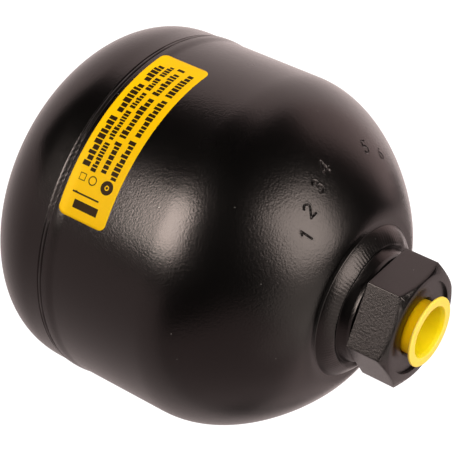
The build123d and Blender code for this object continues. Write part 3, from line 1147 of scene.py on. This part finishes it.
@dataclass
class Label:
    """Foil label on the cylinder, with its print reduced to bars, blocks and rings.

    A point of the label is (u, v): u runs along it, against the angle, and v across it,
    away from the weld, both in millimetres from its lower corner on the far side.
    """

    shape: VesselShape
    from_deg: float = 238.5
    sweep_deg: float = 61.5
    from_weld: float = 2.9
    height: float = 20.3
    corner: float = 2.7
    foil: float = 0.06
    ink: float = 0.03
    seed: int = 7

    def place(self, u: np.ndarray, v: np.ndarray, lift: float) -> np.ndarray:
        """Wraps points of the label round the cylinder, following the swelling.

        Args:
            u: way along the label from its 300 degree end, in millimetres.
            v: way across it from its edge beside the weld, in millimetres.
            lift: height over the painted surface.

        Returns:
            Points, one for each pair of u and v.
        """
        s = self.shape
        angle = math.radians(self.from_deg + self.sweep_deg) - u / s.body_radius
        rise = self.from_weld + v
        radius = s.body_radius + s.swelling(rise - s.weld_half) + lift
        return polar(radius, angle, s.weld_z + rise)

    @property
    def length(self) -> float:
        """Length of the label along the cylinder."""
        return math.radians(self.sweep_deg) * self.shape.body_radius

    def foil_grid(self) -> np.ndarray:
        """Grid of the foil: each row is shortened at its ends by the rounded corners.

        Returns:
            Points, rows by columns by 3.
        """
        c = self.corner
        corner_v = c * (1 - np.cos(np.radians(np.linspace(0, 90, 9))))
        straight = np.linspace(c, self.height - c, 14)[1:-1]
        v = np.concatenate([corner_v, straight, self.height - corner_v[::-1]])
        from_edge = np.minimum(v, self.height - v)
        inset = np.where(from_edge < c, c - np.sqrt(np.maximum(0, c ** 2 - (c - from_edge) ** 2)), 0)
        share = np.linspace(0, 1, 90)[None, :]
        u = inset[:, None] + (self.length - 2 * inset[:, None]) * share
        return self.place(u, v[:, None] + 0 * u, self.foil)[:, ::-1]

    def block(self, u: Pair, v: Pair) -> np.ndarray:
        """Grid of one printed block between two u and two v.

        Args:
            u: first and last way along the label.
            v: lower and upper way across it.

        Returns:
            Points, 2 by columns by 3.
        """
        steps = max(2, int((u[1] - u[0]) / 2) + 2)
        uu, vv = np.meshgrid(np.linspace(*u, steps), np.linspace(*v, 2))
        return self.place(uu, vv, self.foil + self.ink)[:, ::-1]

    def ring(self, centre: Pair, radii: Pair, sides: int = 40) -> np.ndarray:
        """Grid of one printed ring or, with few sides, of a frame.

        Args:
            centre: its u and v.
            radii: inner and outer radius.
            sides: number of its sides.

        Returns:
            Points, 2 by columns by 3.
        """
        a = around(sides) + math.pi / sides
        a = np.append(a, a[0])
        r = np.array(radii)[:, None]
        return self.place(
            centre[0] + r * np.cos(a), centre[1] + r * np.sin(a), self.foil + self.ink
        )

    def words(self, v: Pair, span: Pair, letter: float, seed: int) -> list[np.ndarray]:
        """Greeked line: blocks of a letter's width in words of random length.

        Args:
            v: lower and upper edge of the line.
            span: first and last u of the line.
            letter: width of a block.
            seed: seed of the random widths and heights.

        Returns:
            One grid for each block.
        """
        chance = np.random.default_rng(seed)
        blocks, u, left = [], span[0], int(chance.integers(5, 11))
        tall = v[1] - v[0]
        while u < span[1] - letter:
            width = letter * chance.uniform(0.55, 0.95)
            drop = tall * chance.choice([0.0, 0.0, 0.22])
            blocks.append(self.block((u, u + width), (v[0] + drop, v[1])))
            u += width + letter * 0.22
            left -= 1
            if left == 0:
                u += letter * 0.9
                left = int(chance.integers(3, 11))
        return blocks

    def build(self, foil: Material, ink: Material) -> None:
        """Builds the foil and the print and puts both on the vessel.

        Args:
            foil: finish of the label.
            ink: finish of the print.
        """
        piece = build_mesh("label_foil_piece", self.foil_grid(), wrap_columns=False)
        solid = piece.modifiers.new("foil thickness", "SOLIDIFY")
        solid.thickness = self.foil * MM
        solid.offset = -1
        install(piece, Body.VESSEL, Slot.LABEL, "label", foil)
        grids = [
            *self.words((2.2, 5.2), (18.5, 66.0), 2.0, self.seed),
            *self.words((6.2, 8.4), (17.5, 68.0), 1.35, self.seed + 1),
            *self.words((9.8, 12.6), (18.5, 68.5), 1.75, self.seed + 2),
            *self.words((14.6, 17.4), (17.5, 69.5), 1.75, self.seed + 3),
            self.ring((14.6, 4.6), (1.5, 1.9), 4),
            self.ring((14.6, 9.0), (1.3, 1.7), 24),
            self.ring((14.4, 15.4), (0.9, 2.5)),
            self.ring((14.4, 15.4), (0.0, 0.5), 16),
            *self.words((4.0, 5.0), (9.0, 9.7), 0.5, self.seed + 4),
            self.block((8.6, 9.2), (3.0, 14.5)),
            self.block((3.6, 6.6), (5.0, 15.5)),
        ]
        parts = [build_mesh(f"print_{n}", grid, wrap_columns=False) for n, grid in enumerate(grids)]
        with bpy.context.temp_override(active_object=parts[0], selected_editable_objects=parts):
            bpy.ops.object.join()
        parts[0].name = "label_print"
        parts[0].data.name = "label_print"
        install(parts[0], Body.VESSEL, Slot.LABEL, "", ink)


@dataclass
class GasEnd:
    """Gas adapter with its threaded stud. Its weld, screw and seal stay the CAD's own."""

    shape: VesselShape
    bore_radius: float = 6.1
    spigot_radius: float = 10.0
    spigot_reach: float = 5.0
    shoulder_radius: float = 17.0
    shoulder_height: float = 4.0
    pocket_radius: float = 9.75
    pocket_depth: float = 9.5
    thread_pitch: float = 1.5
    thread_depth: float = 0.85
    edge: float = 0.4
    columns: int = 120

    def build(self, paint: Material) -> None:
        """Builds the adapter and puts it on the vessel.

        The stud's radius is the major radius less depth times the thread's triangle
        wave, eased out at both ends of the thread.

        Args:
            paint: finish of the adapter.
        """
        seat_z = self.shape.gas_pole_z
        stud = mount_radius("gas_stud")
        angles = around(self.columns)
        under = seat_z - self.shoulder_height
        z = np.linspace(0.0, under - 0.2, 92)
        wave = thread_wave(z[:, None], angles, self.thread_pitch)
        runout = smooth((under - 1.2 - z) / 1.0)[:, None]
        radius = stud - self.thread_depth * np.clip(wave * 1.25 - 0.1, 0, 1) * runout
        radius = np.minimum(radius, stud - 1.5 + z[:, None])
        thread = polar(radius, angles, z[:, None])
        before = np.array([
            (self.bore_radius, seat_z + self.spigot_reach),
            (self.bore_radius, self.pocket_depth),
            (self.pocket_radius, self.pocket_depth),
            (self.pocket_radius, 0.3),
            (self.pocket_radius + 0.3, 0.0),
        ])
        after = np.array([
            (stud, under),
            (self.shoulder_radius - self.edge, under),
            (self.shoulder_radius, under + self.edge),
            (self.shoulder_radius, seat_z),
            (self.spigot_radius, seat_z),
            (self.spigot_radius, seat_z + self.spigot_reach),
        ])
        grid = np.concatenate([turn(before, angles), thread, turn(after, angles)])
        piece = build_mesh("gas_adapter_painted", grid, wrap_rows=True, sharp_deg=40)
        install(piece, Body.VESSEL, Slot.PAINT, "gas_adapter", paint)


@dataclass
class Diaphragm:
    """Rubber bowl inside the vessel, which flattens towards its bead as the valve opens.

    The thick boss in its middle holds the valve plate and moves with it, unsquashed.
    """

    shape: VesselShape
    gap: float = 0.3
    thickness: float = 2.5
    bead: float = 4.5
    bead_height: float = 6.0
    boss_radius: float = 17.0
    boss_height: float = 5.0
    boss_gap: float = 0.05
    pocket_radius: float = 13.05
    pocket_depth: float = 3.0
    stroke: float = 70.0
    columns: int = 96

    def build(self, rubber: Material, shell: FluidShell) -> None:
        """Builds the boss and the bowl, and gives the bowl a mesh of its own.

        Args:
            rubber: finish of both pieces.
            shell: shell that the bowl lies against.
        """
        low, high = node_span("diaphragm")
        s = self.shape
        outer_t = np.linspace(0, 1, 30)
        outer = shell.dome(s.wall + self.gap, outer_t)
        inner = shell.dome(s.wall + self.gap + self.thickness, outer_t[::-1])
        edge = s.body_radius - s.wall - self.gap
        boss = self.boss_radius
        outer = outer[outer[:, 0] > boss + self.boss_gap]
        profile = np.vstack([
            run((edge - self.bead, low), (edge, low), 2),
            run((edge, low), tuple(outer[0]), 4),
            outer,
            [(boss + self.boss_gap, high), (boss + self.boss_gap, high - self.thickness)],
            inner[inner[:, 0] > boss + self.boss_gap],
            [(edge - self.thickness, low + self.bead_height)],
            [(edge - self.bead, low + self.bead_height)],
        ])
        core = np.array([
            (0.5, high - self.boss_height),
            (boss, high - self.boss_height),
            (boss, high),
            (self.pocket_radius, high),
            (self.pocket_radius, high - self.pocket_depth),
            (0.5, high - self.pocket_depth),
        ])
        centre = turned_piece("diaphragm_boss_moulded", core, self.columns)
        install(centre, Body.SEPARATOR, Slot.RUBBER, "", rubber)
        piece = turned_piece("diaphragm_moulded", profile, self.columns)
        install(piece, Body.VESSEL, Slot.RUBBER, "diaphragm", rubber)
        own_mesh(piece)


# Studio


def towards(azimuth_deg: float, elevation_deg: float) -> Vector:
    """Direction of an azimuth, measured from -Y towards +X, and an elevation."""
    a, e = math.radians(azimuth_deg), math.radians(elevation_deg)
    return Vector((math.sin(a) * math.cos(e), -math.cos(a) * math.cos(e), math.sin(e)))


@dataclass
class SoftBox:
    """Rectangular studio light, hidden from the camera, that faces a point of the vessel.

    Azimuth is measured from -Y towards +X, and distance from the point that it faces.
    """

    name: str
    azimuth_deg: float
    elevation_deg: float
    distance: float
    width: float
    height: float
    radiance: float
    aim: tuple[float, float, float] = (0.0, 0.0, 100.0)
    gloss: bool = True
    diffuse: bool = True
    colour: str = "#fffcf3"

    def build(self) -> None:
        """Places the light and gives it the power of its radiance: radiance pi width height."""
        away = towards(self.azimuth_deg, self.elevation_deg)
        light = bpy.data.lights.new(self.name, "AREA")
        light.shape = "RECTANGLE"
        light.size = self.width * MM
        light.size_y = self.height * MM
        light.energy = self.radiance * math.pi * light.size * light.size_y
        light.color = linear(self.colour)[:3]
        holder = bpy.data.objects.new(self.name, light)
        holder.location = (Vector(self.aim) + away * self.distance) * MM
        holder.rotation_mode = "QUATERNION"
        holder.rotation_quaternion = away.to_track_quat("Z", "Y")
        holder.visible_camera = False
        holder.visible_glossy = self.gloss
        holder.visible_diffuse = self.diffuse
        bpy.context.scene.collection.objects.link(holder)


@dataclass
class PhotoCamera:
    """Camera at the photograph's viewing angle.

    The line of sight comes down at elevation_deg from azimuth_deg, and the camera is
    rolled so that the vessel's axis runs down to the right. The girth weld's centre lies
    aside and below the middle of the frame.
    """

    azimuth_deg: float = 16.07
    elevation_deg: float = 28.74
    roll_deg: float = 114.95
    distance: float = 659.2
    aside: float = 24.81
    below: float = 7.62
    lens: float = 139.4
    sensor: float = 36.0
    clip_m: Pair = (0.05, 20.0)

    def build(self, target_z: float) -> None:
        """Creates the camera and makes it the scene's own.

        Args:
            target_z: height in millimetres of the point that the camera is placed from.
        """
        back = towards(self.azimuth_deg, self.elevation_deg)
        a = math.radians(self.azimuth_deg)
        level = Vector((math.cos(a), math.sin(a), 0))
        steep = back.cross(level)
        roll = math.radians(self.roll_deg)
        right = level * math.cos(roll) + steep * math.sin(roll)
        up = back.cross(right)
        spot = Vector((0, 0, target_z)) + back * self.distance + right * self.aside - up * self.below
        data = bpy.data.cameras.new("photo_camera")
        data.lens = self.lens
        data.sensor_width = self.sensor
        data.clip_start, data.clip_end = self.clip_m
        camera = bpy.data.objects.new("photo_camera", data)
        axes = Matrix((right, up, back)).transposed()
        camera.rotation_mode = "QUATERNION"
        camera.rotation_quaternion = axes.to_quaternion()
        camera.location = spot * MM
        bpy.context.scene.collection.objects.link(camera)
        bpy.context.scene.camera = camera


def level_piece(name: str, xy: np.ndarray, height: float, material: Material, seen: bool) -> None:
    """Lays a level sheet in the studio.

    Args:
        name: name of the object.
        xy: grid of places in millimetres, rows towards +Y and columns towards +X.
        height: height in millimetres.
        material: its finish.
        seen: whether the camera sees it, and not only the light.
    """
    grid = np.concatenate([xy, np.full((*xy.shape[:2], 1), height)], axis=-1)
    piece = build_mesh(name, grid, wrap_columns=False)
    piece.data.materials.append(material)
    piece.visible_camera = seen


@dataclass
class Studio:
    """Lit white table, light sheet, soft boxes, a black card and a dim room.

    Gloss shows what stands round the vessel: a box low in front and one high at the left
    make the two highlights, a pale wall at the left and dimmer ones behind and at the
    right edge the outline, and a black card on the table keeps the front dark.
    """

    table_size: float = 4000.0
    table_colour: str = "#ffffff"
    # Sheet on the table that only the gloss sees, with its brightness at the left and right
    sheet_colour: str = "#ffece9"
    sheet_glow: Pair = (1.45, 0.66)
    glow_span: float = 100.0
    # Near edge of the black card, closest to the vessel in front of it
    card: tuple[Pair, ...] = (
        (-1500.0, -1000.0),
        (-220.0, -172.0),
        (15.0, -78.0),
        (60.0, -112.0),
        (230.0, -160.0),
        (1500.0, -950.0),
    )
    card_reach: float = 2000.0
    card_colour: str = "#1c1c1c"
    # Heights of the table, the sheet and the card
    layers: tuple[float, float, float] = (-0.05, 0.3, 0.5)
    room_level: float = 0.015
    boxes: tuple[SoftBox, ...] = (
        SoftBox("high_box", -36.0, 63.0, 1000.0, 640.0, 640.0, 7.8, (-10.0, -45.0, 130.0)),
        SoftBox("low_box", 23.5, -15.5, 180.0, 122.0, 120.0, 16.0, (20.0, -63.0, 101.0), diffuse=False),
        SoftBox("fill_box", 8.0, 12.0, 1400.0, 1500.0, 500.0, 6.0, gloss=False),
        SoftBox("left_wall", -105.0, 10.0, 1300.0, 1400.0, 600.0, 1.15, colour="#ffe2de"),
        SoftBox("back_wall", -172.0, 28.0, 1300.0, 1700.0, 1200.0, 0.75, colour="#ffe8e5"),
        SoftBox("right_wall", 115.0, 30.0, 1300.0, 1800.0, 1500.0, 0.5, colour="#ffe8e5"),
        SoftBox("top_panel", 110.0, 78.0, 1200.0, 900.0, 700.0, 1.2),
        SoftBox("high_wall", 145.0, 58.0, 1250.0, 1100.0, 500.0, 0.5),
    )

    def build(self) -> None:
        """Builds the table, the sheet, the card, the room and the lights."""
        half = self.table_size / 2
        side = np.linspace(-half, half, 2)
        square = np.stack(np.meshgrid(side, side), axis=-1)
        table_z, sheet_z, card_z = self.layers
        material, add, _ = new_material("lit_white_table")
        shader = {
            "Base Color": (0.1, 0.1, 0.1, 1.0),
            "Roughness": 0.7,
            "Emission Color": linear(self.table_colour),
            "Emission Strength": 1.05,
        }
        add("OutputMaterial", {"Surface": add("BsdfPrincipled", shader)})
        level_piece("table", square, table_z, material, True)
        material, add, place = new_material("light_sheet")
        across = add("SeparateXYZ", {0: place}).outputs["X"]
        span = {"From Min": -self.glow_span, "From Max": self.glow_span}
        ends = {"To Min": self.sheet_glow[0], "To Max": self.sheet_glow[1]}
        glow = add("MapRange", {"Value": across} | span | ends)
        lit = add("Emission", {"Color": linear(self.sheet_colour), "Strength": glow})
        add("OutputMaterial", {"Surface": lit})
        level_piece("glowing_sheet", square, sheet_z, material, False)
        near = np.array([*self.card])
        far = np.column_stack([near[:, 0], np.full(len(near), -self.card_reach)])
        material, add, _ = new_material("matt_black_card")
        add("OutputMaterial", {"Surface": add("BsdfDiffuse", {"Color": linear(self.card_colour)})})
        level_piece("black_card", np.stack([far, near]), card_z, material, False)
        self.light_room()
        for box in self.boxes:
            box.build()

    def light_room(self) -> None:
        """Builds the room: white for the camera, and dim for everything else."""
        world = bpy.data.worlds.new("room")
        bpy.context.scene.world = world
        world.use_nodes = True
        world.node_tree.nodes.clear()
        add = partial(add_node, world.node_tree)
        seen = add("LightPath", {}).outputs["Is Camera Ray"]
        dim, pale = (
            add("Background", {"Color": linear(self.table_colour), "Strength": level})
            for level in (self.room_level, 1.0)
        )
        add("OutputWorld", {"Surface": add("MixShader", {0: seen, 1: dim, 2: pale})})


def main() -> None:
    """Builds the pieces in order, then the studio and the camera."""
    logging.basicConfig(level=logging.INFO, format="%(name)s: %(message)s")
    bpy.context.scene.view_settings.view_transform = "Standard"
    shape = VesselShape()
    PhotoCamera().build(shape.weld_z)
    paint = WetPaint().build()
    weld_paint = WetPaint(name="black_paint_on_weld", roughness=0.3, peel_height=0.06).build()
    forged = WetPaint(
        name="black_paint_on_forging", roughness=0.41, grit_height=0.25, peel_height=0.05
    ).build()
    steel = TurnedSteel().build()
    rubber = MouldedRubber().build()
    fluid = FluidShell(shape)
    fluid.build(paint)
    GasShell(shape).build(paint)
    GirthWeld(shape).build(weld_paint)
    PortFitting(shape).build(paint, forged)
    CollarWeld(shape).build(weld_paint)
    PortPlug().build(MouldedPolyethylene().build())
    Label(shape).build(
        PrintedFoil(name="yellow_foil", colour="#fcc502").build(),
        PrintedFoil(name="dark_brown_ink", colour="#2c1c08").build(),
    )
    GasEnd(shape).build(paint)
    Diaphragm(shape).build(rubber, fluid)
    dress("gas_adapter_weld", weld_paint)
    dress("charging_seal", rubber)
    for node in ("charging_screw", "valve_plate", "retaining_ring"):
        dress(node, steel)
    Studio().build()


if __name__ == "__main__":
    main()
